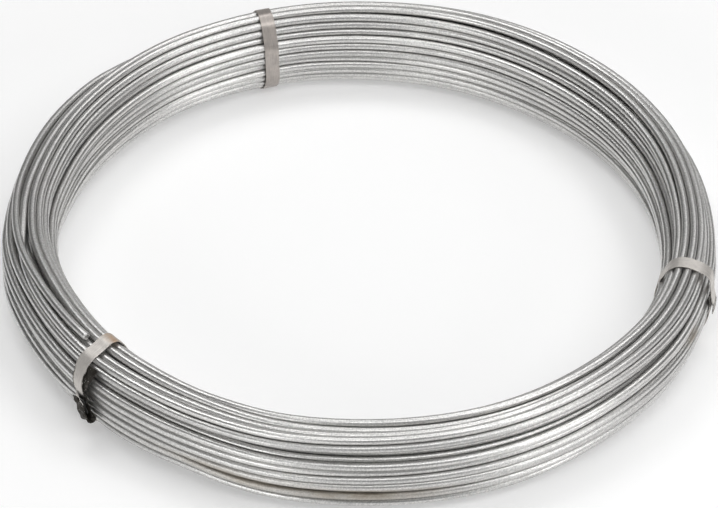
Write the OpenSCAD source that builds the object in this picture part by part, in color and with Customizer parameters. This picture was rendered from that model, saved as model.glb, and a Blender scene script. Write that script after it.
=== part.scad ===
// Coil of galvanized steel wire, lying flat and tied with three steel straps.
// The coil's axis is Z. The origin is on that axis, at the level of the ground it lies on.
// Angles round the coil are measured from +X towards +Y.

/* [Wire] */
// Diameter of the wire
wire_d = 4; // [3:0.1:5]
// Gap between neighbouring turns of one course
turn_gap = 0.8; // [0.4:0.1:1.2]
// Gap between a turn and the turns of the next course that it nests on
nest_gap = 0.3; // [0.1:0.1:0.6]

/* [Coil] */
// Diameter of the hole through the coil
bore_d = 300; // [240:5:400]
// Turns side by side in the widest course
widest_turns = 6; // [4:1:8]
// Courses of turns, one on top of the other
courses = 13; // [9:2:17]
// Courses above the middle one, and below it, over which the sides run straight up
straight_courses = 2; // [2:2:4]

/* [Outer end of the wire] */
// Distance from the wire's cut end to the left strap
end_gap = 3; // [2:0.5:20]
// How far round the coil the last turn climbs onto the others, in degrees
climb_angle = 80; // [60:5:100]

/* [Straps] */
// Width of a strap
strap_w = 7.5; // [5:0.5:12]
// Thickness of a strap
strap_t = 0.5; // [0.3:0.1:0.8]
// Gap between a strap and the turns that it holds
strap_gap = 0.05; // [0.02:0.01:0.3]
// Place of the back strap round the coil, in degrees
back_strap_angle = 108.5; // [90:0.5:130]
// Place of the left strap round the coil, in degrees
left_strap_angle = 222; // [200:0.5:240]
// Place of the right strap round the coil, in degrees
right_strap_angle = 346; // [330:0.5:358]

/* [Strap joint] */
// Length over which the strap's two ends lie on each other
lap_len = 9; // [6:0.5:14]
// Inner radius of the fold that locks the lap
fold_r = 0.3; // [0.2:0.05:0.8]
// Length of the strap's end that is folded back over the lap
tail_len = 5; // [3:0.5:6]

/* [Hidden] */

// Facets of a wire's section, of a full turn round the coil, and of a strap's bend round a turn
section_fn = 24;
turn_fn = 120;
bend_steps = 4;

// The strap lies outside the turns by this much, measured from a turn's centre
strap_in = wire_d / 2 + strap_gap;
strap_out = strap_in + strap_t;

// Spacing of the turns in a course, and of the courses, which nest in each other's valleys
turn_pitch = wire_d + turn_gap;
course_rise = sqrt(pow(wire_d + nest_gap, 2) - pow(turn_pitch / 2, 2));

// Middle course, and the radius of the ring through the middle of the section
middle = (courses - 1) / 2;
ring_r = bore_d / 2 + wire_d / 2 + (widest_turns - 1) / 2 * turn_pitch;

// Turns in course i: full width alternates with one turn fewer, then each course loses one turn
function steps(i) = abs(i - middle);
function fewest(i) = 2 - abs(widest_turns - steps(i)) % 2;
function turns(i) = max(fewest(i), min(widest_turns - steps(i) % 2, widest_turns + straight_courses - steps(i)));

// Height of course i, and the distance of its outermost turn from the middle of the section
function course_z(i) = strap_out + i * course_rise;
function reach(i) = (turns(i) - 1) / 2 * turn_pitch;

mid_z = course_z(middle);

// The cut end lies in the valley outside the two highest courses, sunk into them by a little
end_bed = 0.15;
shoulder = [
    for (i = [courses - 1, courses - 2]) [ring_r + reach(i), course_z(i)]
];
shoulder_edge = shoulder[1] - shoulder[0];
shoulder_up = [-shoulder_edge.y, shoulder_edge.x] / norm(shoulder_edge);
end_rise = sqrt(pow(wire_d - end_bed, 2) - pow(norm(shoulder_edge) / 2, 2));
end_centre = (shoulder[0] + shoulder[1]) / 2 + end_rise * shoulder_up;

// Before it, the last turn dives until it is under the others: its circle is off centre and tilted by this much
end_dive = (end_rise + wire_d / 2) / (1 - cos(climb_angle)) * shoulder_up;
end_tilt = asin(end_dive.y / end_centre.x);
cut_end_angle = left_strap_angle - asin((strap_w / 2 + end_gap) / end_centre.x);

// Centres of the outermost turns, from the lowest course to the highest
side = [for (i = [0 : courses - 1]) [reach(i), course_z(i)]];

// Those of them that a strap pulled tight touches: the ones on the convex side of the section
function bulge(a, b, c) = (b.x - a.x) * (c.y - a.y) - (b.y - a.y) * (c.x - a.x);
function without_last(path) = [for (i = [0 : len(path) - 2]) path[i]];
function taut(path, p) =
    len(path) < 2 || bulge(path[len(path) - 2], path[len(path) - 1], p) > 0.001
        ? concat(path, [p])
        : taut(without_last(path), p);
function taut_side(i = 0, path = []) = i == courses ? path : taut_side(i + 1, taut(path, side[i]));

// A closed outline from its outward side: up that side and down the mirrored one
function outline(path) = concat(
    [for (p = path) [ring_r + p.x, p.y]],
    [for (i = [len(path) - 1 : -1 : 0]) [ring_r - path[i].x, path[i].y]]
);

// The turns that show on the coil's faces, on a plain core in place of those inside
module wound_section() {
    polygon(outline(side));
    for (p = outline(side))
        translate(p) circle(d = wire_d, $fn = section_fn);
    for (i = [0, courses - 1], j = [0 : turns(i) - 1])
        translate([ring_r - reach(i) + j * turn_pitch, course_z(i)]) circle(d = wire_d, $fn = section_fn);
}

// Direction that the outline's edge from point i to the next one faces, away from the turns
function facing(path, i) =
    let (edge = path[(i + 1) % len(path)] - path[i % len(path)]) atan2(-edge.x, edge.y);

// The outline of a tight wrapping: straight along each edge, and bent round the turn at each corner
function wrapping(path, distance) = [
    for (i = [0 : len(path) - 1])
        let (
            from = facing(path, i + len(path) - 1),
            bend = (facing(path, i) - from + 360) % 360
        )
        for (k = [0 : bend_steps])
            let (angle = from + bend * k / bend_steps) path[i] + distance * [cos(angle), sin(angle)]
];

// The strap's two ends: one laps the other on the coil's outward side, and is folded back up
module folded_ends() {
    bend_r = fold_r + strap_t;
    translate([ring_r + reach(middle) + strap_out, mid_z - lap_len / 2]) {
        translate([-strap_t / 2, 0]) square([1.5 * strap_t, lap_len]);
        translate([bend_r, 0]) difference() {
            union() {
                circle(r = bend_r, $fn = section_fn);
                translate([-bend_r, 0]) square([2 * bend_r, tail_len]);
            }
            circle(r = fold_r, $fn = section_fn);
            translate([-fold_r, 0]) square([2 * fold_r, 2 * tail_len]);
        }
    }
}

module strap(at) {
    far = ring_r + reach(middle) + strap_out + 3 * strap_t + 2 * fold_r;
    height = course_z(courses - 1) + strap_out;
    sweep = 2 * asin(strap_w / bore_d) + 2;
    color([0.75, 0.71, 0.68]) rotate(at) intersection() {
        rotate_extrude(angle = sweep, start = -sweep / 2, $fn = turn_fn) {
            difference() {
                polygon(wrapping(outline(taut_side()), strap_out));
                polygon(wrapping(outline(taut_side()), strap_in));
            }
            folded_ends();
        }
        translate([0, -strap_w / 2, -strap_t]) cube([far, strap_w, height + 2 * strap_t]);
    }
}

// The stretch of the last turn that climbs onto the others and ends in a square cut
module last_turn() {
    rotate(cut_end_angle)
        translate([end_dive.x, 0, end_centre.y - end_dive.y])
            rotate([0, -end_tilt, 0])
                rotate_extrude(angle = climb_angle, start = -climb_angle, $fn = turn_fn)
                    translate([end_centre.x - end_dive.x, 0]) circle(d = wire_d, $fn = section_fn);
}

module wire_coil() {
    color("silver") {
        rotate_extrude($fn = turn_fn) wound_section();
        last_turn();
    }
}

module strap_back() { strap(back_strap_angle); }
module strap_left() { strap(left_strap_angle); }
module strap_right() { strap(right_strap_angle); }

wire_coil();
strap_back();
strap_left();
strap_right();
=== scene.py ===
"""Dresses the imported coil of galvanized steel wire: one wound length, tied with three flat steel straps."""

import logging
import math
from dataclasses import dataclass, field
from enum import Enum

import bmesh
import bpy
import numpy as np
from mathutils import Matrix, Vector, noise
from mathutils.geometry import convex_hull_2d


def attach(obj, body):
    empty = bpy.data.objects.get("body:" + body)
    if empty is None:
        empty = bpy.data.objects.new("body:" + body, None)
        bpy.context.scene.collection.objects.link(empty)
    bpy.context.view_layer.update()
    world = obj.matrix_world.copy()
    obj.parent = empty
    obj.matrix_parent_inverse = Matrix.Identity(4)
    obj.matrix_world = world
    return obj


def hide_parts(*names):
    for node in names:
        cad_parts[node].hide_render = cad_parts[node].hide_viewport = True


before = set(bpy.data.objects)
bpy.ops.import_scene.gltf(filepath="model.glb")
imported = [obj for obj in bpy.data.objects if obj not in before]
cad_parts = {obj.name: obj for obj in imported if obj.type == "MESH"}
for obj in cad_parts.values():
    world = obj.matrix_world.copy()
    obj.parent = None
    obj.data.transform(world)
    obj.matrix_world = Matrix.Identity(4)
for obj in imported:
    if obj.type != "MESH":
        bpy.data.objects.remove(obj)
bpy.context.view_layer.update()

Colour = tuple[float, float, float]
Span = tuple[float, float]
Feed = bpy.types.NodeSocket | float | tuple[float, ...]
Shaded = bpy.types.Material | bpy.types.World

LOG = logging.getLogger("wire_coil")
MM = 0.001
TINY = 1e-9
FULL_TURN = 360.0
NOISE_SPAN: Span = (0.3, 0.7)
WHITE = (1.0, 1.0, 1.0, 1.0)


def smooth_step(share: np.ndarray | float) -> np.ndarray | float:
    """Eases a share from 0 to 1 with no slope at either end."""
    share = np.clip(share, 0.0, 1.0)
    return share * share * (3.0 - 2.0 * share)


def azimuth_gap(azimuth: np.ndarray | float, other: float) -> np.ndarray | float:
    """Returns the signed angle in degrees from other to azimuth, between -180 and 180."""
    return (azimuth - other + FULL_TURN / 2) % FULL_TURN - FULL_TURN / 2


def bell(distance: np.ndarray | float, reach: float) -> np.ndarray | float:
    """Fades from 1 at no distance to about a third at the reach, and to nothing at twice that."""
    return np.exp(-((distance / reach) ** 2))


def travelled(line: np.ndarray) -> np.ndarray:
    """Returns the distance travelled along a line at each of its points."""
    return np.concatenate([[0.0], np.cumsum(np.linalg.norm(np.diff(line, axis=0), axis=1))])


def along_line(line: np.ndarray, distance: np.ndarray) -> np.ndarray:
    """Finds the places at given distances along a line."""
    passed = travelled(line)
    return np.stack([np.interp(distance, passed, column) for column in line.T], axis=-1)


def corners_of(mesh: bpy.types.Mesh) -> np.ndarray:
    """Reads where a mesh's vertices lie.

    Args:
        mesh: the mesh.

    Returns:
        One (x, y, z) place for each vertex.
    """
    corners = np.empty(len(mesh.vertices) * 3, dtype=np.float32)
    mesh.vertices.foreach_get("co", corners)
    return corners.reshape(-1, 3).astype(float)


def store(mesh: bpy.types.Mesh, name: str, values: np.ndarray) -> None:
    """Stores values on a mesh's vertices, where materials can read them.

    Args:
        mesh: the mesh.
        name: what the attribute is called.
        values: one number, or one row of three, for each vertex.
    """
    kind, key = ("FLOAT", "value") if values.ndim == 1 else ("FLOAT_VECTOR", "vector")
    layer = mesh.attributes.new(name, kind, "POINT")
    layer.data.foreach_set(key, np.ascontiguousarray(values, dtype=np.float32).ravel())


def shown(name: str, data: bpy.types.ID) -> bpy.types.Object:
    """Puts something in the scene as an object at the origin.

    Args:
        name: the object's name.
        data: the mesh, curve, lamp or camera that it shows.

    Returns:
        The object.
    """
    thing = bpy.data.objects.new(name, data)
    bpy.context.scene.collection.objects.link(thing)
    return thing


# ---------------------------------------------------------------- the ring and the winding


@dataclass(frozen=True)
class Ring:
    """The ring that the coil fills.

    Attributes:
        mid_r: radius of the circle through the middle of the section.
        mid_z: height of the section's middle.
        half_w: half the section's width, across the coil.
        half_h: half the section's height.
    """

    mid_r: float
    mid_z: float
    half_w: float
    half_h: float

    @classmethod
    def of_node(cls, node: bpy.types.Object) -> "Ring":
        """Measures a ring-shaped CAD node whose axis is Z.

        Args:
            node: the CAD node's object.

        Returns:
            The ring that the node fills.
        """
        corners = corners_of(node.data)
        radius = np.hypot(corners[:, 0], corners[:, 1])
        low, high = corners[:, 2].min(), corners[:, 2].max()
        return cls(
            mid_r=float(radius.min() + radius.max()) / 2,
            mid_z=float(low + high) / 2,
            half_w=float(radius.max() - radius.min()) / 2,
            half_h=float(high - low) / 2,
        )

    def place(self, section: np.ndarray, azimuth: np.ndarray | float) -> np.ndarray:
        """Turns places in the section into places in space.

        Args:
            section: (outward, up) pairs from the section's middle.
            azimuth: degrees round the coil, one for each pair or one for all.

        Returns:
            The (x, y, z) places.
        """
        angle = np.radians(azimuth)
        radius = self.mid_r + section[..., 0]
        height = self.mid_z + section[..., 1]
        return np.stack([radius * np.cos(angle), radius * np.sin(angle), height], axis=-1)

    def unplace(self, places: np.ndarray) -> tuple[np.ndarray, np.ndarray]:
        """Turns places in space back into places in the section.

        Args:
            places: the (x, y, z) places.

        Returns:
            Their (outward, up) pairs, and their degrees round the coil.
        """
        outward = np.hypot(places[..., 0], places[..., 1]) - self.mid_r
        azimuth = np.degrees(np.arctan2(places[..., 1], places[..., 0]))
        return np.stack([outward, places[..., 2] - self.mid_z], axis=-1), azimuth


@dataclass(frozen=True)
class Uneven:
    """A stretch of the coil where the turns lie tighter, or looser below 0, or bulge outward as a whole.

    Attributes:
        azimuth: degrees round the coil of its middle.
        reach: degrees over which it fades to about a third.
        tighter: how much less room the turns have, as a share of the section.
        outward: how far the turns shift.
    """

    azimuth: float
    reach: float
    tighter: float = 0.0
    outward: float = 0.0

    def fade(self, azimuths: np.ndarray) -> np.ndarray:
        """Returns how much of the stretch's effect there is at each azimuth."""
        return bell(azimuth_gap(azimuths, self.azimuth), self.reach)


@dataclass
class Winding:
    """How the wire lies: layer on layer and a little loose, with its outer end climbing onto the turns.

    Attributes:
        ring: the ring that the turns fill.
        unevenness: where the turns lie otherwise than in an even ring.
        end_azimuth: degrees round the coil of the wire's cut outer end.
        wire_r: the wire's radius.
        turns: how many times the wire goes round.
        stations: how many points one turn has.
        layers: how many layers the traverse lays, from the bore outward.
        looseness: how far the turns spread, where 1 just fills the ring.
        shoulder: how far past the outermost turns the section's round outline comes down, in wire radii.
        slow_wander, quick_wander: how far the wire strays from its layer, over a long way and a short one.
        slow_way, quick_way: those ways, as shares of a turn.
        rounds: how often the turns push each other aside.
        calm_rounds: how many of the last rounds ease only the kinks, and no longer the whole wire.
        give: how far the turns give way in a round, where 1 is all the way.
        sharpest: how far the wire may bend away from its line within one station.
        kink_spread: pairs of a distance from a kink in stations, and how much of its easing is done there.
        end_outward, end_drift: the outer end's place outward, and how far it drifts inward for each degree.
        end_proud: how far the last stretch stands over the turns below it.
        end_climb: degrees over which the last turn climbs.
        end_rise, end_lead: how many times quicker than that it has risen, and is led firmly.
        seed: starts the random numbers.
        section: (outward, up) pairs of the wire's centre, by turn and station.
    """

    ring: Ring
    unevenness: tuple[Uneven, ...]
    end_azimuth: float
    wire_r: float = 2.0 * MM
    turns: int = 56
    stations: int = 144
    layers: int = 6
    looseness: float = 1.08
    shoulder: float = 1.1
    slow_wander: float = 1.1 * MM
    quick_wander: float = 0.4 * MM
    slow_way: float = 0.35
    quick_way: float = 0.12
    rounds: int = 320
    calm_rounds: int = 75
    give: float = 0.9
    sharpest: float = 0.3 * MM
    kink_spread: tuple[tuple[int, float], ...] = ((-2, 0.5), (-1, 1.0), (0, 1.0), (1, 1.0), (2, 0.5))
    end_outward: float = 3.3 * MM
    end_drift: float = 0.09 * MM
    end_proud: float = 1.4 * MM
    end_climb: float = 80.0
    end_rise: float = 2.0
    end_lead: float = 3.0
    seed: int = 2
    section: np.ndarray = field(init=False)

    def __post_init__(self) -> None:
        """Winds the wire as soon as its sizes are known."""
        shift = sum(uneven.outward * uneven.fade(self.azimuths) for uneven in self.unevenness)
        self.section = self.settled(self.traverse()) + np.stack([shift, 0 * shift], axis=-1)

    @property
    def azimuths(self) -> np.ndarray:
        """Degrees round the coil of each station, the last of which is at the outer end."""
        return self.end_azimuth + (np.arange(self.stations) + 1) * FULL_TURN / self.stations

    @property
    def reach(self) -> tuple[float, float]:
        """How far a turn's centre may lie from the section's middle, across and up."""
        return self.ring.half_w - self.wire_r, self.ring.half_h - self.wire_r

    def shell(self, outward: np.ndarray) -> np.ndarray:
        """Returns how high the section's rounded outline lies at each distance outward."""
        across, up = self.reach
        return up * np.sqrt(np.clip(1 - (outward / (across + self.shoulder * self.wire_r)) ** 2, 0, 1))

    def traverse(self) -> np.ndarray:
        """Lays the wire as a winder does, down one layer and up the next, from the bore outward.

        Returns:
            (outward, up) pairs from the section's middle, by turn and station.
        """
        outward = np.linspace(-self.reach[0], self.reach[0], self.layers)
        corners = []
        for layer, (across, height) in enumerate(zip(outward, self.shell(outward))):
            start = height if layer % 2 == 0 else -height
            corners += [(across, start), (across, -start)]
        corners = np.array(corners)
        distance = np.linspace(0, travelled(corners)[-1], self.turns * self.stations)
        rng = np.random.default_rng(self.seed)
        path = along_line(corners, distance)
        slow, quick = self.wander(rng, self.slow_way), self.wander(rng, self.quick_way)
        path += self.slow_wander * slow + self.quick_wander * quick
        return path.reshape(self.turns, self.stations, 2)

    def wander(self, rng: np.random.Generator, share: float) -> np.ndarray:
        """Draws a smooth random drift along the whole wire.

        Args:
            rng: seeded source of random numbers.
            share: length of one drift, as a share of a turn.

        Returns:
            (outward, up) shifts of about unit size, one for each point of the wire.
        """
        spare_knots, just_over_one = 4, 1.001
        knots = rng.normal(size=(int(self.turns / share) + spare_knots, 2))
        place = np.linspace(0, len(knots) - just_over_one, self.turns * self.stations)
        knot = place.astype(int)
        blend = smooth_step(place - knot)[:, None]
        return knots[knot] * (1 - blend) + knots[knot + 1] * blend

    def climb(self) -> tuple[np.ndarray, np.ndarray]:
        """Leads the last turn onto the others, where it drifts inward to its cut end.

        Returns:
            The (outward, up) pairs that it is led to, and how firmly, at each station.
        """
        before_end = np.arange(self.stations)[::-1] * FULL_TURN / self.stations
        risen = (self.end_climb - before_end) / self.end_climb
        outward = np.minimum(self.end_outward + self.end_drift * before_end, self.reach[0])
        up = self.shell(outward) + self.end_proud * smooth_step(self.end_rise * risen)
        return np.stack([outward, up], axis=-1), smooth_step(self.end_lead * risen)[:, None]

    def settled(self, path: np.ndarray) -> np.ndarray:
        """Lets the turns push each other aside until they hardly lie in each other.

        Args:
            path: (outward, up) pairs by turn and station.

        Returns:
            The same pairs, settled.
        """
        across, up = self.reach
        tighter = sum(uneven.tighter * uneven.fade(self.azimuths) for uneven in self.unevenness)
        room = self.looseness - tighter
        lead, firmness = self.climb()
        path = path * (room / self.looseness)[:, None]
        for step in range(self.rounds):
            apart = path[:, None] - path[None, :]
            distance = np.sqrt((apart**2).sum(axis=-1)) + TINY
            overlap = np.clip(2 * self.wire_r - distance, 0, None)
            crowd = (overlap > 0).sum(axis=1) - 1
            push = ((overlap / 2 / distance)[..., None] * apart).sum(axis=1)
            path = path + self.give * push / np.maximum(1, crowd / 2)[..., None]
            spread = np.hypot(path[..., 0] / across, path[..., 1] / up) / room
            path = path * ((1 + 1 / np.maximum(spread, 1)) / 2)[..., None]
            path[..., 1] = np.maximum(path[..., 1], -up)
            path[-1] = path[-1] * (1 - firmness) + lead * firmness
            if step < self.rounds - self.calm_rounds:
                path = self.eased(self.eased(path))
            else:
                path = self.unkinked(self.unkinked(path))
        return path

    def unkinked(self, path: np.ndarray) -> np.ndarray:
        """Takes out only the bends that are sharper than such wire takes.

        Args:
            path: (outward, up) pairs by turn and station.

        Returns:
            The same pairs, eased where they bent too sharply.
        """
        wire = path.reshape(-1, 2)
        bend = np.zeros(len(wire))
        bend[1:-1] = np.linalg.norm(wire[:-2] + wire[2:] - 2 * wire[1:-1], axis=1)
        sharp = np.clip(bend / self.sharpest - 1, 0, 1)
        near = [share * np.roll(sharp, shift) for shift, share in self.kink_spread]
        return path + (self.eased(path) - path) * np.max(near, axis=0).reshape(*path.shape[:2], 1)

    @staticmethod
    def eased(path: np.ndarray) -> np.ndarray:
        """Takes sharp bends out of the wire, all along its length.

        Args:
            path: (outward, up) pairs by turn and station.

        Returns:
            The same pairs, each moved halfway to the middle between its neighbours.
        """
        wire = path.reshape(-1, 2).copy()
        wire[1:-1] = wire[1:-1] / 2 + (wire[:-2] + wire[2:]) / 4
        return wire.reshape(path.shape)

    def centre_line(self) -> np.ndarray:
        """Returns the wire's centre line in space, from its inner end to its outer one."""
        return self.ring.place(self.section.reshape(-1, 2), np.tile(self.azimuths, self.turns))

    def turns_at(self, azimuth: float) -> np.ndarray:
        """Finds where the turns cross one azimuth.

        Args:
            azimuth: degrees round the coil.

        Returns:
            One (outward, up) pair from the section's middle for each turn.
        """
        place = (azimuth - self.azimuths[0]) % FULL_TURN / FULL_TURN * self.stations
        station = int(place)
        after = self.section[:, (station + 1) % self.stations]
        return self.section[:, station] * (1 - (place - station)) + after * (place - station)


# ---------------------------------------------------------------- finishes


@dataclass(frozen=True)
class Pattern:
    """A pattern of soft blotches.

    Attributes:
        size: the blotches' size.
        detail, rough: how many finer ones lie in them, and how strong those are.
        drawn: scales along the axes, of which a small one draws the blotches out, or None.
    """

    size: float
    detail: float = 2.0
    rough: float = 0.5
    drawn: tuple[float, float, float] | None = None


class ShaderSheet:
    """The nodes of one material or world, added and joined in short lines.

    Attributes:
        MIX_FIRST, MIX_SECOND, MIXED: numbers of a Mix node's sockets for its two colours and its result.
    """

    MIX_FIRST, MIX_SECOND, MIXED = 6, 7, 2

    def __init__(self, shaded: Shaded, surface: str = "Principled BSDF") -> None:
        """Starts from something that is shaded.

        Args:
            shaded: the material or world.
            surface: the name of its surface shader.
        """
        self.shaded = shaded
        self.shaded.use_nodes = True
        self.tree = self.shaded.node_tree
        self.surface = self.tree.nodes[surface]

    @classmethod
    def of_material(cls, name: str) -> "ShaderSheet":
        """Starts a new material."""
        return cls(bpy.data.materials.new(name))

    def feed(self, socket: bpy.types.NodeSocket, value: Feed) -> None:
        """Joins a socket to another one, or sets its value.

        Args:
            socket: the socket that is fed.
            value: the other socket, or the value.
        """
        if isinstance(value, bpy.types.NodeSocket):
            self.tree.links.new(value, socket)
        else:
            socket.default_value = value

    def finish(self, **inputs: Feed) -> Shaded:
        """Feeds the surface shader.

        Args:
            **inputs: what goes into its sockets, named in small letters with _ for a space.

        Returns:
            What is shaded.
        """
        for name, value in inputs.items():
            self.feed(self.surface.inputs[name.replace("_", " ").title()], value)
        return self.shaded

    def add(self, kind: str, inputs: dict[str | int, Feed], **settings: str | bool) -> bpy.types.Node:
        """Adds a node.

        Args:
            kind: the node's type.
            inputs: what goes into its sockets, by name or number.
            **settings: the node's own properties.

        Returns:
            The node.
        """
        node = self.tree.nodes.new(kind)
        for name, value in settings.items():
            setattr(node, name, value)
        for key, value in inputs.items():
            self.feed(node.inputs[key], value)
        return node

    def attribute(self, name: str, output: str = "Fac") -> bpy.types.NodeSocket:
        """Reads one of the mesh's own attributes."""
        return self.add("ShaderNodeAttribute", {}, attribute_name=name).outputs[output]

    def noise(self, vector: Feed, pattern: Pattern) -> bpy.types.NodeSocket:
        """Adds a pattern, from 0 to 1 with a mean of a half.

        Args:
            vector: the coordinates that it is laid on.
            pattern: what it is like.

        Returns:
            The pattern's value.
        """
        if pattern.drawn is not None:
            mapping = self.add("ShaderNodeMapping", {"Vector": vector, "Scale": pattern.drawn})
            vector = mapping.outputs["Vector"]
        grain = {"Scale": 1 / pattern.size, "Detail": pattern.detail, "Roughness": pattern.rough}
        return self.add("ShaderNodeTexNoise", {"Vector": vector, **grain}).outputs["Fac"]

    def ramp(self, value: Feed, span: Span, onto: Span = (0.0, 1.0)) -> bpy.types.NodeSocket:
        """Maps one span onto another, and clamps the value there.

        Args:
            value: the value that is mapped.
            span: the values that go to the other span's ends.
            onto: the other span, which may run downward.

        Returns:
            The mapped value.
        """
        (low, high), (start, end) = span, onto
        inputs = {"Value": value, "From Min": low, "From Max": high, "To Min": start, "To Max": end}
        return self.add("ShaderNodeMapRange", inputs).outputs["Result"]

    def swing(self, value: Feed, amount: float) -> bpy.types.NodeSocket:
        """Maps the span that a pattern mostly fills onto the one from -amount to amount."""
        return self.ramp(value, NOISE_SPAN, (-amount, amount))

    def total(self, first: Feed, second: Feed) -> bpy.types.NodeSocket:
        """Adds two numbers."""
        return self.add("ShaderNodeMath", {0: first, 1: second}, operation="ADD").outputs[0]

    def product(self, first: Feed, second: Feed) -> bpy.types.NodeSocket:
        """Multiplies two numbers."""
        return self.add("ShaderNodeMath", {0: first, 1: second}, operation="MULTIPLY").outputs[0]

    def mix(self, share: Feed, first: Feed, second: Feed) -> bpy.types.NodeSocket:
        """Goes from one colour to another.

        Args:
            share: how far it goes, from 0 to 1.
            first: the colour at 0.
            second: the colour at 1.

        Returns:
            The mixed colour.
        """
        first, second = [(*value, 1.0) if isinstance(value, tuple) else value for value in (first, second)]
        inputs = {"Factor": share, self.MIX_FIRST: first, self.MIX_SECOND: second}
        return self.add("ShaderNodeMix", inputs, data_type="RGBA").outputs[self.MIXED]

    def relief(self, height: Feed, depth: float, under: Feed = (0.0, 0.0, 0.0)) -> bpy.types.NodeSocket:
        """Adds relief of the given depth, on top of another relief if there is one."""
        inputs = {"Height": height, "Distance": depth, "Normal": under}
        return self.add("ShaderNodeBump", inputs).outputs["Normal"]


@dataclass(frozen=True)
class ZincCoat:
    """Hot-dip zinc on drawn wire: satin grey, finely grained and cloudy, with painted shade in the grooves
    between the turns, stained in spots.

    Attributes:
        pale, dull: its lightest and its darkest tone.
        painted_shade_colour, stain, rust: the painted shade deep between the turns, its colour in a stained
            patch, and where that is worst.
        metal: how metallic it is.
        smoothest, roughest: its roughness where it is pale and where it is dull.
        grain, cloud, tone, lines: its patterns along each wire, from the fine grain to the drawn lines.
        grain_depth, line_depth: depth of the grain's and the lines' relief.
        grain_share, tone_share, painted_shade_grain: how far the grain and the tone sway the clouds, and the
        grain the painted shade in the grooves.
        tone_span, rough_span: spans of the shade that go from dull to pale, and from roughest to smoothest.
        stain_broken: how weak and how strong the clouds make a stained patch.
        stain_span, most_stain: span of it that turns the zinc brown, and how brown it gets.
        rust_span: span of it that goes on to rust.
        painted_shade_span, most_painted_shade: span of the nearness to the next turn that paints shade on the
            zinc, and how dark it gets.
        stain_rough_span, stain_rough: span of a stain that roughens the zinc, and how much.
    """

    pale: Colour = (0.75, 0.743, 0.726)
    dull: Colour = (0.53, 0.526, 0.517)
    painted_shade_colour: Colour = (0.24, 0.237, 0.23)
    stain: Colour = (0.35, 0.305, 0.245)
    rust: Colour = (0.08, 0.055, 0.035)
    metal: float = 0.9
    smoothest: float = 0.29
    roughest: float = 0.43
    grain: Pattern = Pattern(size=0.8 * MM, detail=3, rough=0.55)
    cloud: Pattern = Pattern(size=8 * MM, detail=3, rough=0.6, drawn=(0.35, 1, 1))
    tone: Pattern = Pattern(size=400 * MM, detail=1, drawn=(1, 0.01, 0.01))
    lines: Pattern = Pattern(size=0.35 * MM, detail=1, drawn=(0.03, 1, 1))
    grain_depth: float = 0.1 * MM
    line_depth: float = 0.01 * MM
    grain_share: float = 0.45
    tone_share: float = 0.22
    painted_shade_grain: float = 0.08
    tone_span: Span = (0.15, 0.85)
    rough_span: Span = (0.1, 0.9)
    stain_broken: Span = (0.35, 1.3)
    stain_span: Span = (0.05, 0.9)
    most_stain: float = 0.8
    rust_span: Span = (0.95, 1.5)
    painted_shade_span: Span = (0.15, 0.85)
    most_painted_shade: float = 0.47
    stain_rough_span: Span = (0.1, 1.0)
    stain_rough: float = 0.25

    def material(self) -> bpy.types.Material:
        """Builds the zinc's shader, which reads each wire's own length and girth.

        Returns:
            The material.
        """
        sheet = ShaderSheet.of_material("galvanized_zinc")
        strand = sheet.attribute("strand", "Vector")
        stain = sheet.attribute("stain")
        painted_groove_shade = sheet.attribute("painted_groove_shade")
        grain = sheet.noise(strand, self.grain)
        cloud = sheet.noise(strand, self.cloud)
        tone = sheet.noise(strand, self.tone)
        lines = sheet.noise(strand, self.lines)

        shade = sheet.total(cloud, sheet.swing(grain, self.grain_share))
        shade = sheet.total(shade, sheet.swing(tone, self.tone_share))
        zinc = sheet.mix(sheet.ramp(shade, self.tone_span), self.dull, self.pale)
        blotch = sheet.product(stain, sheet.ramp(cloud, NOISE_SPAN, self.stain_broken))
        zinc = sheet.mix(sheet.ramp(blotch, self.stain_span, (0, self.most_stain)), zinc, self.stain)
        zinc = sheet.mix(sheet.ramp(blotch, self.rust_span), zinc, self.rust)
        # painted shade: the zinc darkens towards the next turn, where the grooves lie in shade
        painted_shade_mask = sheet.total(painted_groove_shade, sheet.swing(grain, self.painted_shade_grain))
        zinc = sheet.mix(sheet.ramp(painted_shade_mask, self.painted_shade_span, (0, self.most_painted_shade)), zinc, self.painted_shade_colour)
        rough = sheet.ramp(shade, self.rough_span, (self.roughest, self.smoothest))
        rough = sheet.total(rough, sheet.ramp(blotch, self.stain_rough_span, (0, self.stain_rough)))
        relief = sheet.relief(lines, self.line_depth, sheet.relief(grain, self.grain_depth))
        return sheet.finish(base_color=zinc, metallic=self.metal, roughness=rough, normal=relief)


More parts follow.
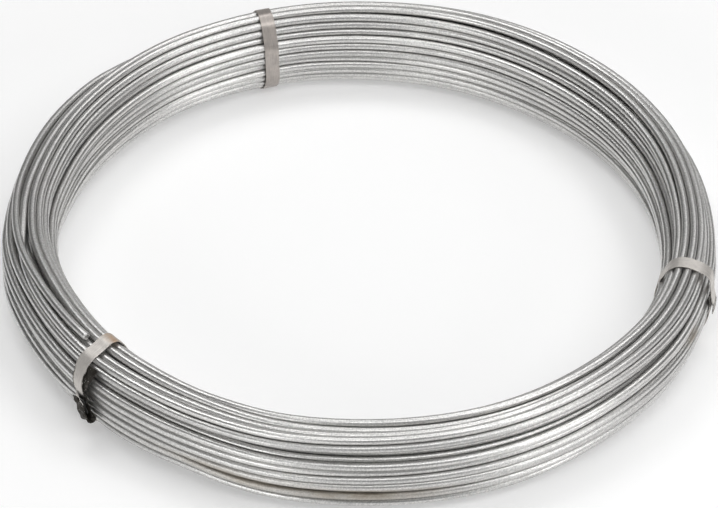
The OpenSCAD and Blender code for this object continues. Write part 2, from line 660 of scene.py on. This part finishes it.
@dataclass(frozen=True)
class StrapSteel:
    """Dull beige steel strip, brushed along its length, blackened in its folds and at its ends by dirt and
    painted shade, and rusty in spots.

    Attributes:
        pale, dull: its lightest and its darkest tone.
        dirt_and_shade, rust: the black of the dirt and painted shade in its folds, and the colour of its
            rusty spots.
        metal: how metallic it is.
        smoothest, roughest: its roughness where it is pale and where it is dull.
        brush, cloud, speck: its patterns: brushed lines, clouds, and the breaks in the dirt and painted
            shade.
        brush_depth: depth of the brushed lines' relief.
        brush_share: how far the brushed lines sway the clouds.
        tone_span: span of the shade that goes from dull and rough to pale and smooth.
        rust_broken: how weak and how strong the clouds make a rusty spot.
        rust_span, most_rust: span of it that turns the steel brown, and how brown it gets.
        speck_span, dirt_and_shade_broken: span of the breaks, and how strong and how weak they make the
            blackening.
        dirt_and_shade_span, most_dirt_and_shade: span of the blackening that darkens the steel, and how black
            it gets.
    """

    pale: Colour = (0.72, 0.685, 0.645)
    dull: Colour = (0.53, 0.505, 0.475)
    dirt_and_shade: Colour = (0.02, 0.017, 0.012)
    rust: Colour = (0.56, 0.38, 0.24)
    metal: float = 0.6
    smoothest: float = 0.42
    roughest: float = 0.58
    brush: Pattern = Pattern(size=0.3 * MM, detail=3, rough=0.6, drawn=(0.04, 1, 1))
    cloud: Pattern = Pattern(size=4 * MM, detail=4, rough=0.6)
    speck: Pattern = Pattern(size=0.8 * MM)
    brush_depth: float = 0.015 * MM
    brush_share: float = 0.25
    tone_span: Span = (0.2, 0.8)
    rust_broken: Span = (0.5, 1.2)
    rust_span: Span = (0.1, 1.0)
    most_rust: float = 0.85
    speck_span: Span = (0.35, 0.7)
    dirt_and_shade_broken: Span = (1.15, 0.15)
    dirt_and_shade_span: Span = (0.1, 0.7)
    most_dirt_and_shade: float = 0.98

    def material(self) -> bpy.types.Material:
        """Builds the strip's shader, which reads its length and width.

        Returns:
            The material.
        """
        sheet = ShaderSheet.of_material("strap_strip")
        strip = sheet.attribute("strip", "Vector")
        brush = sheet.noise(strip, self.brush)
        cloud = sheet.noise(strip, self.cloud)
        speck = sheet.noise(strip, self.speck)

        shade = sheet.total(cloud, sheet.swing(brush, self.brush_share))
        steel = sheet.mix(sheet.ramp(shade, self.tone_span), self.dull, self.pale)
        blotch = sheet.product(sheet.attribute("rust"), sheet.ramp(cloud, NOISE_SPAN, self.rust_broken))
        steel = sheet.mix(sheet.ramp(blotch, self.rust_span, (0, self.most_rust)), steel, self.rust)
        # dirt and painted shade: blackens the folds, the lap's edges and the ends, partly where they lie in
        # shade
        blackening = sheet.product(sheet.attribute("dirt_and_shade"), sheet.ramp(speck, self.speck_span, self.dirt_and_shade_broken))
        steel = sheet.mix(sheet.ramp(blackening, self.dirt_and_shade_span, (0, self.most_dirt_and_shade)), steel, self.dirt_and_shade)
        rough = sheet.ramp(shade, self.tone_span, (self.roughest, self.smoothest))
        relief = sheet.relief(brush, self.brush_depth)
        return sheet.finish(base_color=steel, metallic=self.metal, roughness=rough, normal=relief)


@dataclass(frozen=True)
class FloorPaint:
    """Plain, nearly white floor.

    Attributes:
        colour: its own colour.
        roughness: its roughness.
        lift: how much lighter it is where it is seen.
    """

    colour: Colour = (0.74, 0.74, 0.74)
    roughness: float = 0.9
    lift: float = 0.29

    def material(self) -> bpy.types.Material:
        """Builds the floor's shader, which is a little lighter where it is seen, directly or mirrored.

        Returns:
            The material.
        """
        sheet = ShaderSheet.of_material("floor_paint")
        path = sheet.add("ShaderNodeLightPath", {}).outputs
        mirrored = sheet.total(path["Is Glossy Ray"], path["Is Transmission Ray"])
        seen = sheet.total(path["Is Camera Ray"], mirrored)
        return sheet.finish(
            base_color=(*self.colour, 1.0), roughness=self.roughness,
            emission_color=WHITE, emission_strength=sheet.product(seen, self.lift),
        )


# ---------------------------------------------------------------- the object's pieces


@dataclass(frozen=True)
class Stain:
    """A stained patch on the turns.

    Attributes:
        azimuth: degrees round the coil of its middle.
        outward, up: its middle's place in the section.
        length, height: how far it reaches along the wires and across them, where it fades to a third.
        strength: how strong it is, where 1 is fully stained and more goes on to rust.
    """

    azimuth: float
    outward: float
    up: float
    length: float
    height: float
    strength: float

    def on(self, ring: Ring, corners: np.ndarray) -> np.ndarray:
        """Finds how strongly the patch marks some places.

        Args:
            ring: the coil's ring.
            corners: the (x, y, z) places.

        Returns:
            The patch's strength at each.
        """
        section, azimuth = ring.unplace(corners)
        along = np.radians(azimuth_gap(azimuth, self.azimuth)) * ring.mid_r
        away = np.linalg.norm(section - (self.outward, self.up), axis=1)
        return self.strength * bell(along, self.length) * bell(away, self.height)


@dataclass
class WireCoil:
    """The coil's one length of wire, from its hidden inner end to its cut outer end.

    Attributes:
        winding: how the wire lies.
        finish: the wire's coat.
        bevel_steps: Blender's steps in a quarter of the wire's round section.
        end_bevel, end_steps: width of the rounding at a cut end, and its steps.
        sharp_angle: the least angle in degrees of an edge that is drawn sharp.
        painted_shade_reach: how far from the next turn the painted groove shade reaches.
        stains: the stained patches.
    """

    winding: Winding
    finish: ZincCoat = ZincCoat()
    bevel_steps: int = 4
    end_bevel: float = 0.8 * MM
    end_steps: int = 3
    sharp_angle: float = 50.0
    painted_shade_reach: float = 0.45 * MM
    stains: tuple[Stain, ...] = (
        Stain(azimuth=250, outward=14 * MM, up=-6.5 * MM, length=34 * MM, height=4 * MM, strength=1.0),
        Stain(azimuth=270, outward=12.5 * MM, up=-9 * MM, length=36 * MM, height=4.5 * MM, strength=1.1),
        Stain(azimuth=336, outward=15 * MM, up=4 * MM, length=5 * MM, height=3.5 * MM, strength=1.9),
    )

    @property
    def length(self) -> float:
        """The wire's whole length."""
        return float(travelled(self.winding.centre_line())[-1])

    def build(self) -> bpy.types.Object:
        """Sweeps a round section along the winding and rounds its two cut ends.

        Returns:
            The wire's object, dressed.
        """
        mesh = self.swept()
        self.dress(mesh)
        bm = bmesh.new()
        bm.from_mesh(mesh)
        rims = [edge for edge in bm.edges if edge.is_boundary]
        bmesh.ops.edgeloop_fill(bm, edges=rims)
        bmesh.ops.bevel(
            bm, geom=rims, offset=self.end_bevel, segments=self.end_steps, profile=0.5, affect="EDGES",
            material=-1,
        )
        bmesh.ops.recalc_face_normals(bm, faces=bm.faces)
        bm.to_mesh(mesh)
        bm.free()
        mesh.shade_smooth()
        mesh.set_sharp_from_angle(angle=math.radians(self.sharp_angle))
        return shown("wound_wire", mesh)

    def swept(self) -> bpy.types.Mesh:
        """Sweeps the round section along the winding, ring after ring.

        Returns:
            The wire's mesh, with open ends.
        """
        line = self.winding.centre_line()
        curve = bpy.data.curves.new("wire_path", "CURVE")
        curve.dimensions = "3D"
        curve.bevel_depth = self.winding.wire_r
        curve.bevel_resolution = self.bevel_steps
        spline = curve.splines.new("POLY")
        spline.points.add(len(line) - 1)
        spline.points.foreach_set("co", np.column_stack([line, np.ones(len(line))]).ravel())
        path = shown("wire_path", curve)
        mesh = bpy.data.meshes.new_from_object(path.evaluated_get(bpy.context.evaluated_depsgraph_get()))
        mesh.name = "wound_wire"
        bpy.data.objects.remove(path)
        bpy.data.curves.remove(curve)
        return mesh

    def dress(self, mesh: bpy.types.Mesh) -> None:
        """Gives the wire its own coordinates, its painted shade in the grooves, its stains and its coat.

        Args:
            mesh: the swept wire.
        """
        winding, corners = self.winding, corners_of(mesh)
        section, azimuth = winding.ring.unplace(corners)
        point = np.arange(len(corners)) // (len(corners) // (winding.turns * winding.stations))
        turn, station = np.divmod(point, winding.stations)
        ahead = np.radians(azimuth_gap(azimuth, winding.azimuths[station])) * winding.ring.mid_r
        passed = travelled(winding.centre_line())[point] + ahead
        store(mesh, "strand", np.column_stack([passed, section - winding.section[turn, station]]))
        # painted shade: how near each vertex lies to another turn, for darkening the grooves between the
        # turns
        gaps = np.linalg.norm(section[None] - winding.section[:, station], axis=-1)
        gaps[turn, np.arange(len(corners))] = np.inf
        gap = np.clip(gaps.min(axis=0) - winding.wire_r, 0, None)
        store(mesh, "painted_groove_shade", np.exp(-gap / self.painted_shade_reach))
        store(mesh, "stain", sum(stain.on(winding.ring, corners) for stain in self.stains))
        mesh.materials.append(self.finish.material())


@dataclass(frozen=True)
class Lap:
    """How a strap's two ends are joined on the coil's outward side.

    Attributes:
        start_up: height of the hidden inner end, from the section's middle.
        length: how far the outer end laps the inner one.
        stand_off: how far the lap's end stands off.
        tail: how far the outer end is folded back up, or 0 where it is left free.
        bend_r: radius of the fold.
        slip: how far the outer end slips along the wires.
        start_slip: how far the inner end sticks out along them.
        crumple: how far the lap and the tail are crushed out of true.
        dirt_and_shade: how black the outer end is, from dirt and painted shade.
        start_dirt_and_shade: how black the inner end is, from dirt and painted shade.
    """

    start_up: float
    length: float
    stand_off: float = 0.0
    tail: float = 0.0
    bend_r: float = 0.0
    slip: float = 0.0
    start_slip: float = 0.0
    crumple: float = 0.0
    dirt_and_shade: float = 0.0
    start_dirt_and_shade: float = 0.0

    def aside(self, passed: np.ndarray, lapped: np.ndarray, up: np.ndarray) -> np.ndarray:
        """Finds how far the strip lies along the wires from its own plane.

        Args:
            passed: distances along the strip.
            lapped: how far each of them lies past the start of the lap.
            up: the strip's height at each, from the section's middle.

        Returns:
            The distances along the wires.
        """
        slipped = np.where(lapped > 0, np.clip((self.start_up - up) / self.length, 0, 1), 0)
        return self.slip * slipped + self.start_slip * self.inner_end(passed)

    def inner_end(self, passed: np.ndarray) -> np.ndarray:
        """Fades from 1 at the strip's inner end to 0 where it goes out of sight."""
        return 1 - smooth_step(passed / self.length)


class Joint(Enum):
    """The ways in which the straps are joined."""

    FOLDED_BACK = Lap(
        start_up=5 * MM, length=9 * MM, tail=5 * MM, bend_r=0.55 * MM, crumple=0.05 * MM, dirt_and_shade=0.35,
    )
    CRUSHED = Lap(
        start_up=17 * MM, length=27 * MM, stand_off=0.8 * MM, tail=11.5 * MM, bend_r=1.6 * MM,
        slip=7.5 * MM, start_slip=6 * MM, crumple=1.8 * MM, dirt_and_shade=3.0, start_dirt_and_shade=3.5,
    )
    FREE = Lap(
        start_up=8 * MM, length=12 * MM, stand_off=1.2 * MM, start_slip=-2.5 * MM,
        crumple=0.3 * MM, dirt_and_shade=0.8, start_dirt_and_shade=1.6,
    )


@dataclass(frozen=True)
class Bow:
    """A bend where a strap stands off the turns.

    Attributes:
        outward, up: its middle's place in the section.
        height: how far the strap stands off there.
        reach: how far from there that fades to about a third.
    """

    outward: float
    up: float
    height: float
    reach: float

    def lift(self, places: np.ndarray) -> np.ndarray:
        """Returns how far the strap stands off at each place."""
        return self.height * bell(np.linalg.norm(places - (self.outward, self.up), axis=-1), self.reach)


@dataclass
class TieStrap:
    """One flat steel strap, tight round the turns, with its ends joined on the coil's outward side.

    Attributes:
        node: the CAD node that the strap replaces.
        joint: how its ends are joined.
        winding: the turns that it ties.
        finish: the strip's steel.
        thickness: the strip's thickness.
        slack: the gap between the strip and the turns.
        ply_gap: the gap between the plies of the lap.
        step: distance between the points along the strip.
        columns: how many faces the strip has across its width.
        edge_bevel, edge_steps: width of the rounding of its edges, and its steps.
        slices, rim_points: how many sections of the coil its loop goes round, and points on each wire.
        loop_points, ease_points: how many points the loop has, and how many each of them is eased over.
        fold_points: how many points there are round the fold, with its ends.
        ramp: length of strip over which the outer ply rises onto the inner one.
        ease: length of strip over which its stiffness rounds the bends.
        crush_start, crush_growth: shares of the lap before its crushing starts, and over which it grows.
        start_crush: how much of the crumpling the inner end gets.
        buckle_length, buckle_width: how far the crumples are apart along the strip and across it.
        dirt_and_shade_floor, dirt_and_shade_swing: how black dirt and painted shade make the strip between
        the crumples, and how much more on them.
        edge_start, edge_dirt_and_shade: where the darkened edge starts, as a share of half the width, and its
            dirt and painted shade.
        edge_darkening_growth: length of the lap over which the edge darkens.
        rust_at, rust_reach: the (outward, up) place of a rusty patch, or None, and how far it reaches.
        shift: how far the strap has slid along the wires.
        lean: how far the strap leans along the wires for each step up.
        bows: where it stands off the turns.
        azimuth: degrees round the coil of the strap's middle.
        width: the strip's width.
    """

    node: str
    joint: Joint
    winding: Winding
    finish: StrapSteel = StrapSteel()
    thickness: float = 0.5 * MM
    slack: float = 0.25 * MM
    ply_gap: float = 0.12 * MM
    step: float = 0.9 * MM
    columns: int = 8
    edge_bevel: float = 0.12 * MM
    edge_steps: int = 2
    slices: int = 5
    rim_points: int = 60
    loop_points: int = 600
    ease_points: int = 9
    fold_points: int = 8
    ramp: float = 5 * MM
    ease: float = 3 * MM
    crush_start: float = 0.42
    crush_growth: float = 0.2
    start_crush: float = 0.6
    buckle_length: float = 4 * MM
    buckle_width: float = 3 * MM
    dirt_and_shade_floor: float = 0.5
    dirt_and_shade_swing: float = 1.5
    edge_start: float = 0.75
    edge_dirt_and_shade: float = 0.6
    edge_darkening_growth: float = 4 * MM
    rust_at: tuple[float, float] | None = None
    rust_reach: float = 3 * MM
    shift: float = 0.0
    lean: float = 0.0
    bows: tuple[Bow, ...] = ()
    azimuth: float = field(init=False)
    width: float = field(init=False)

    def __post_init__(self) -> None:
        """Takes the strap's azimuth and width from its CAD node."""
        corners = corners_of(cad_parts[self.node].data)
        middle = (corners.min(axis=0) + corners.max(axis=0)) / 2
        rough = math.degrees(math.atan2(middle[1], middle[0]))
        sideways = corners @ self.sideways_at(rough)
        off_centre = (sideways.min() + sideways.max()) / 2
        self.azimuth = rough + math.degrees(off_centre / self.winding.ring.mid_r)
        sideways = corners @ self.sideways_at(self.azimuth)
        self.width = float(sideways.max() - sideways.min())

    @staticmethod
    def sideways_at(azimuth: float) -> np.ndarray:
        """Returns the direction along the wires at an azimuth."""
        return np.array([-math.sin(math.radians(azimuth)), math.cos(math.radians(azimuth)), 0.0])

    def girth(self) -> np.ndarray:
        """Finds the tight loop round the turns, through the middle of the strip's thickness.

        Returns:
            Evenly spaced (outward, up) pairs that start on the outward side and go down, under and over.
        """
        spread = math.degrees(self.width / 2 / self.winding.ring.mid_r)
        parts = np.linspace(-spread, spread, self.slices)
        wires = np.concatenate([self.winding.turns_at(self.azimuth + part) for part in parts])
        angle = np.linspace(0, 2 * math.pi, self.rim_points, endpoint=False)
        rim = np.stack([np.cos(angle), np.sin(angle)], axis=-1)
        rim *= self.winding.wire_r + self.slack + self.thickness / 2
        cloud = (wires[:, None] + rim).reshape(-1, 2)
        hull = cloud[convex_hull_2d([Vector(place) for place in cloud])]
        after = np.roll(hull, -1, axis=0)
        if (hull[:, 0] * after[:, 1] - hull[:, 1] * after[:, 0]).sum() > 0:
            hull = hull[::-1]
        loop = np.vstack([hull, hull[:1]])
        around = np.linspace(0, travelled(loop)[-1], self.loop_points, endpoint=False)
        near = np.linspace(-self.ease / 2, self.ease / 2, self.ease_points)
        loop = along_line(loop, (around[:, None] + near) % travelled(loop)[-1]).mean(axis=1)
        miss = np.where(loop[:, 0] > 0, np.abs(loop[:, 1] - self.joint.value.start_up), np.inf)
        loop = np.roll(loop, -int(miss.argmin()), axis=0)
        return np.vstack([loop, loop[:1]])

    def run(self) -> tuple[np.ndarray, np.ndarray]:
        """Lays the strip's centre line: once round, over its own inner end, and back up in a fold.

        Returns:
            (outward, up) pairs, and the direction away from the turns at each.
        """
        lap, loop = self.joint.value, self.girth()
        end = travelled(loop)[-1] + lap.length
        body, away = self.laid(loop, np.arange(0, end, self.step))
        if not lap.tail:
            return body, away
        bend = np.linspace(0, math.pi, self.fold_points)[1:-1]
        outer = away[-1]
        onward = np.array([outer[1], -outer[0]])
        fold = np.outer(np.sin(bend), onward) + np.outer(1 - np.cos(bend), outer)
        facing = np.outer(np.cos(bend), outer) - np.outer(np.sin(bend), onward)
        back = np.arange(end - self.step, end - lap.tail, -self.step)
        tail, under = self.laid(loop, back, 2 * lap.bend_r)
        return np.vstack([body, body[-1] + lap.bend_r * fold, tail]), np.vstack([away, facing, -under])

    def laid(
        self, loop: np.ndarray, distance: np.ndarray, over: float = 0.0
    ) -> tuple[np.ndarray, np.ndarray]:
        """Places points on the loop, lifted where it laps itself and where it bows.

        Args:
            loop: the tight loop round the turns.
            distance: how far along it each point lies, counted on past its start.
            over: how much further the points are lifted.

        Returns:
            (outward, up) pairs, and the direction away from the turns at each.
        """
        lap, once = self.joint.value, travelled(loop)[-1]
        place = along_line(loop, distance % once)
        ahead = along_line(loop, (distance + self.ease) % once)
        ahead -= along_line(loop, (distance - self.ease) % once)
        away = np.stack([-ahead[:, 1], ahead[:, 0]], axis=-1)
        away /= np.linalg.norm(away, axis=1, keepdims=True)
        lift = over + sum(bow.lift(place) for bow in self.bows)
        ply = self.thickness + self.ply_gap
        lift = lift + ply * smooth_step((distance - once + self.ramp) / self.ramp)
        lift = lift + lap.stand_off * smooth_step((distance - once) / lap.length)
        return place + away * lift[:, None], away

    def lapped(self, passed: np.ndarray) -> np.ndarray:
        """Returns how far each point along the strip lies past the start of its lap."""
        lap = self.joint.value
        return passed - (passed[-1] - lap.tail - math.pi * lap.bend_r - lap.length)

    def build(self) -> bpy.types.Object:
        """Draws the strip's line, widens it across the wires, crushes its joint and gives it its thickness.

        Returns:
            The strap's object, dressed.
        """
        line, away = self.run()
        ring, sideways = self.winding.ring, self.sideways_at(self.azimuth)
        passed, up = travelled(line), line[:, 1]
        aside = self.shift + up * self.lean + self.joint.value.aside(passed, self.lapped(passed), up)
        places = ring.place(line, self.azimuth) + np.outer(aside, sideways)
        facing = ring.place(line + away, self.azimuth) - ring.place(line, self.azimuth)
        mesh = self.widened(places, sideways)
        self.dress(mesh, line, places, facing)
        strap = shown(mesh.name, mesh)
        wall = strap.modifiers.new("wall", "SOLIDIFY")
        wall.thickness, wall.offset, wall.use_even_offset = self.thickness, 0.0, True
        edge = strap.modifiers.new("edge", "BEVEL")
        edge.width, edge.segments, edge.limit_method = self.edge_bevel, self.edge_steps, "ANGLE"
        edge.harden_normals = True
        return strap

    def widened(self, places: np.ndarray, sideways: np.ndarray) -> bpy.types.Mesh:
        """Extrudes one edge of the strip from point to point, and then widens it column by column.

        Args:
            places: (x, y, z) points along the strip's middle.
            sideways: the direction along the wires.

        Returns:
            The strip's mesh, one face thick, which knows the point that each vertex belongs to.
        """
        bm = bmesh.new()
        station = bm.verts.layers.int.new("station")
        tip = bm.verts.new(places[0] - sideways * self.width / 2)
        for number, place in enumerate(places[1:], start=1):
            tip = bmesh.ops.extrude_vert_indiv(bm, verts=[tip])["verts"][0]
            tip.co = place - sideways * self.width / 2
            tip[station] = number
        edges = list(bm.edges)
        for _ in range(self.columns):
            grown = bmesh.ops.extrude_edge_only(bm, edges=edges)["geom"]
            edges = [part for part in grown if isinstance(part, bmesh.types.BMEdge)]
            row = [part for part in grown if isinstance(part, bmesh.types.BMVert)]
            bmesh.ops.translate(bm, verts=row, vec=sideways * self.width / self.columns)
        bmesh.ops.recalc_face_normals(bm, faces=bm.faces)
        mesh = bpy.data.meshes.new(self.node + "_strip")
        bm.to_mesh(mesh)
        bm.free()
        return mesh

    def dress(self, mesh: bpy.types.Mesh, line: np.ndarray, places: np.ndarray, facing: np.ndarray) -> None:
        """Crushes the joint, and gives the strip its own coordinates, its dirt and painted shade, its rust
        and its steel.

        Args:
            mesh: the strip, one face thick.
            line: (outward, up) pairs along the strip.
            places: the same line in space.
            facing: the direction away from the turns at each of its points.
        """
        lap = self.joint.value
        station = np.empty(len(mesh.vertices), dtype=np.int32)
        mesh.attributes["station"].data.foreach_get("value", station)
        corners = corners_of(mesh)
        across = (corners - places[station]) @ self.sideways_at(self.azimuth)
        passed = travelled(line)[station]
        lapped = self.lapped(travelled(line))[station]
        crushed = smooth_step((lapped - self.crush_start * lap.length) / (self.crush_growth * lap.length))
        inner = lap.inner_end(passed)
        buckles = np.array([
            noise.noise(Vector((along / self.buckle_length, over / self.buckle_width, self.azimuth)))
            for along, over in zip(passed, across)
        ])
        crumple = lap.crumple * np.maximum(crushed, self.start_crush * inner) * buckles
        corners += facing[station] * crumple[:, None]
        mesh.vertices.foreach_set("co", corners.ravel())
        # dirt and painted shade: the lap's edges, its crushed joint and the inner end are blackened, partly
        # where they lie in shade
        edge = smooth_step((np.abs(across) / (self.width / 2) - self.edge_start) / (1 - self.edge_start))
        edge = self.edge_dirt_and_shade * edge * smooth_step(lapped / self.edge_darkening_growth)
        spots = self.dirt_and_shade_floor + self.dirt_and_shade_swing * np.abs(buckles)
        dirt_and_shade = lap.dirt_and_shade * np.clip(crushed * spots + edge, 0, 1)
        dirt_and_shade = np.maximum(dirt_and_shade, lap.start_dirt_and_shade * inner * spots)
        rust = np.zeros(len(corners))
        if self.rust_at is not None:
            rust = bell(np.linalg.norm(line[station] - self.rust_at, axis=1), self.rust_reach)
        store(mesh, "strip", np.column_stack([passed, across, 0 * across]))
        store(mesh, "dirt_and_shade", dirt_and_shade)
        store(mesh, "rust", rust)
        mesh.shade_smooth()
        mesh.materials.append(self.finish.material())


# ---------------------------------------------------------------- the studio


@dataclass(frozen=True)
class SoftBox:
    """A soft lamp: a bright rectangle that faces the coil.

    Attributes:
        name: what it is called.
        azimuth, elevation: degrees round the coil and over the floor.
        glow: how bright it looks, where 1 is white.
        distance: how far it stands from the coil.
        width, height: its size.
    """

    name: str
    azimuth: float
    elevation: float
    glow: float
    distance: float = 2.4
    width: float = 1.3
    height: float = 1.0

    def hang(self) -> None:
        """Puts the lamp in its place."""
        lamp = bpy.data.lights.new(self.name, "AREA")
        lamp.shape, lamp.size, lamp.size_y = "RECTANGLE", self.width, self.height
        lamp.energy = self.glow * math.pi * self.width * self.height
        turn, tilt = math.radians(self.azimuth), math.radians(self.elevation)
        away = Vector((math.cos(turn) * math.cos(tilt), math.sin(turn) * math.cos(tilt), math.sin(tilt)))
        facing = away.to_track_quat("Z", "Y")
        hung = shown(self.name, lamp)
        hung.matrix_world = Matrix.Translation(away * self.distance) @ facing.to_matrix().to_4x4()
        hung.visible_camera = False


@dataclass
class Studio:
    """Pale floor, plain soft light and the camera.

    Attributes:
        ring: the coil's ring, which the camera is set by.
        elevation, roll: the camera's degrees over the floor, and its tilt sideways.
        distance, aim_right, aim_up: the camera's distance and aim, in mean radii of the coil.
        lens, sensor: the camera's focal length and sensor, in millimetres.
        floor_half: half the floor's side.
        fill: how bright the studio's walls are.
        boxes: its soft lamps.
    """

    ring: Ring
    elevation: float = 39.97
    roll: float = 1.33
    distance: float = 12.56
    aim_right: float = -0.0064
    aim_up: float = -0.0479
    lens: float = 206.4
    sensor: float = 36.0
    floor_half: float = 4.0
    fill: float = 0.01
    boxes: tuple[SoftBox, ...] = (
        SoftBox("overhead_left", azimuth=135, elevation=64, glow=3.85),
        SoftBox("overhead_right", azimuth=45, elevation=64, glow=2.9),
        SoftBox("overhead_front", azimuth=-90, elevation=64, glow=2.8),
        SoftBox("back", azimuth=90, elevation=16, glow=0.6),
        SoftBox("back_right", azimuth=60, elevation=40, glow=1.0),
        SoftBox("front_right", azimuth=-30, elevation=50, glow=3.0),
        SoftBox("front_right_low", azimuth=-30, elevation=16, glow=3.25),
        SoftBox("front_middle_right", azimuth=-60, elevation=40, glow=0.4),
        SoftBox("front_left_low", azimuth=240, elevation=16, glow=3.2),
        SoftBox("left_low", azimuth=210, elevation=16, glow=0.8),
    )

    def build(self) -> None:
        """Sets up the whole studio."""
        self.set_camera()
        self.lay_floor()
        self.hang_lights()
        bpy.context.scene.view_settings.view_transform = "Standard"

    def set_camera(self) -> None:
        """Looks down on the coil from the front, with a long lens."""
        tilt, roll = math.radians(self.elevation), math.radians(self.roll)
        back = Vector((0, -math.cos(tilt), math.sin(tilt)))
        right, up = Vector((1, 0, 0)), Vector((0, math.sin(tilt), math.cos(tilt)))
        aside = right * self.aim_right + up * self.aim_up
        aim = Vector((0, 0, self.ring.mid_z)) + aside * self.ring.mid_r
        across = right * math.cos(roll) + up * math.sin(roll)
        axes = (across, up * math.cos(roll) - right * math.sin(roll), back)
        data = bpy.data.cameras.new("camera")
        data.lens, data.sensor_width = self.lens, self.sensor
        camera = shown("camera", data)
        stand = Matrix.Translation(aim + back * self.distance * self.ring.mid_r)
        camera.matrix_world = stand @ Matrix(axes).transposed().to_4x4()
        bpy.context.scene.camera = camera

    def lay_floor(self) -> None:
        """Lays the pale floor that the coil rests on."""
        mesh = bpy.data.meshes.new("floor")
        bm = bmesh.new()
        bmesh.ops.create_grid(bm, x_segments=1, y_segments=1, size=self.floor_half)
        bm.to_mesh(mesh)
        bm.free()
        mesh.materials.append(FloorPaint().material())
        shown("floor", mesh)

    def hang_lights(self) -> None:
        """Lights the studio softly all round, and from its lamps."""
        sheet = ShaderSheet(bpy.data.worlds.new("studio"), "Background")
        bpy.context.scene.world = sheet.finish(color=WHITE, strength=self.fill)
        for box in self.boxes:
            box.hang()


def main() -> None:
    """Builds the coil's pieces round the frame, and the studio."""
    logging.basicConfig(level=logging.INFO, format="%(name)s: %(message)s")
    ring = Ring.of_node(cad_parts["wire_coil"])
    unevenness = (
        Uneven(azimuth=6, reach=12, tighter=-0.03, outward=-0.9 * MM),
        Uneven(azimuth=40, reach=22, tighter=-0.12, outward=0.3 * MM),
        Uneven(azimuth=72, reach=14, tighter=-0.06, outward=0.7 * MM),
        Uneven(azimuth=104, reach=16, tighter=0.07, outward=0.4 * MM),
        Uneven(azimuth=130, reach=8, outward=0.5 * MM),
        Uneven(azimuth=149, reach=10, tighter=-0.06, outward=-0.4 * MM),
        Uneven(azimuth=166, reach=10, tighter=0.03, outward=-0.4 * MM),
        Uneven(azimuth=180, reach=9, tighter=0.10, outward=1.2 * MM),
        Uneven(azimuth=191, reach=7, tighter=-0.08, outward=1.2 * MM),
        Uneven(azimuth=209, reach=9, tighter=-0.17, outward=-0.6 * MM),
        Uneven(azimuth=221, reach=7, tighter=0.09),
        Uneven(azimuth=232, reach=7, tighter=-0.03, outward=-0.4 * MM),
        Uneven(azimuth=242, reach=10, tighter=0.10, outward=-0.2 * MM),
        Uneven(azimuth=256, reach=10, tighter=-0.05, outward=1.5 * MM),
        Uneven(azimuth=270, reach=12, tighter=-0.06, outward=0.5 * MM),
        Uneven(azimuth=292, reach=14, tighter=-0.01, outward=0.6 * MM),
        Uneven(azimuth=313, reach=11, tighter=0.05, outward=-0.1 * MM),
        Uneven(azimuth=334, reach=12, tighter=0.03, outward=1.0 * MM),
        Uneven(azimuth=346, reach=24, tighter=0.12),
    )
    winding = Winding(ring, unevenness, end_azimuth=219.0)
    coil = WireCoil(winding)
    wire = coil.build()
    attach(wire, "root")
    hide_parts("wire_coil")
    LOG.info("wire: %d turns, %.1f m, %d faces", winding.turns, coil.length, len(wire.data.polygons))

    pale_strip = StrapSteel()
    # painted shade: a darker copy of the same strap steel for the back strap, which catches less light
    shaded_strip = StrapSteel(
        pale=(0.52, 0.475, 0.44), dull=(0.35, 0.32, 0.3), metal=0.8, smoothest=0.33, roughest=0.45,
    )
    straps = (
        TieStrap("strap_back", Joint.FOLDED_BACK, winding, shaded_strip, shift=1.4 * MM, lean=0.02, bows=(
            Bow(outward=-16 * MM, up=-11 * MM, height=1.3 * MM, reach=7 * MM),
        )),
        TieStrap("strap_left", Joint.CRUSHED, winding, pale_strip, rust_at=(-5 * MM, 24 * MM), bows=(
            Bow(outward=-4 * MM, up=22 * MM, height=1.4 * MM, reach=5 * MM),
            Bow(outward=14 * MM, up=9 * MM, height=3.4 * MM, reach=8 * MM),
        )),
        TieStrap("strap_right", Joint.FREE, winding, pale_strip, bows=(
            Bow(outward=12 * MM, up=17 * MM, height=3.2 * MM, reach=6 * MM),
        )),
    )
    for tie in straps:
        strap = tie.build()
        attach(strap, "root")
        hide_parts(tie.node)
        LOG.info("%s: %s, at %.1f degrees", tie.node, tie.joint.name, tie.azimuth)

    Studio(ring).build()


if __name__ == "__main__":
    main()
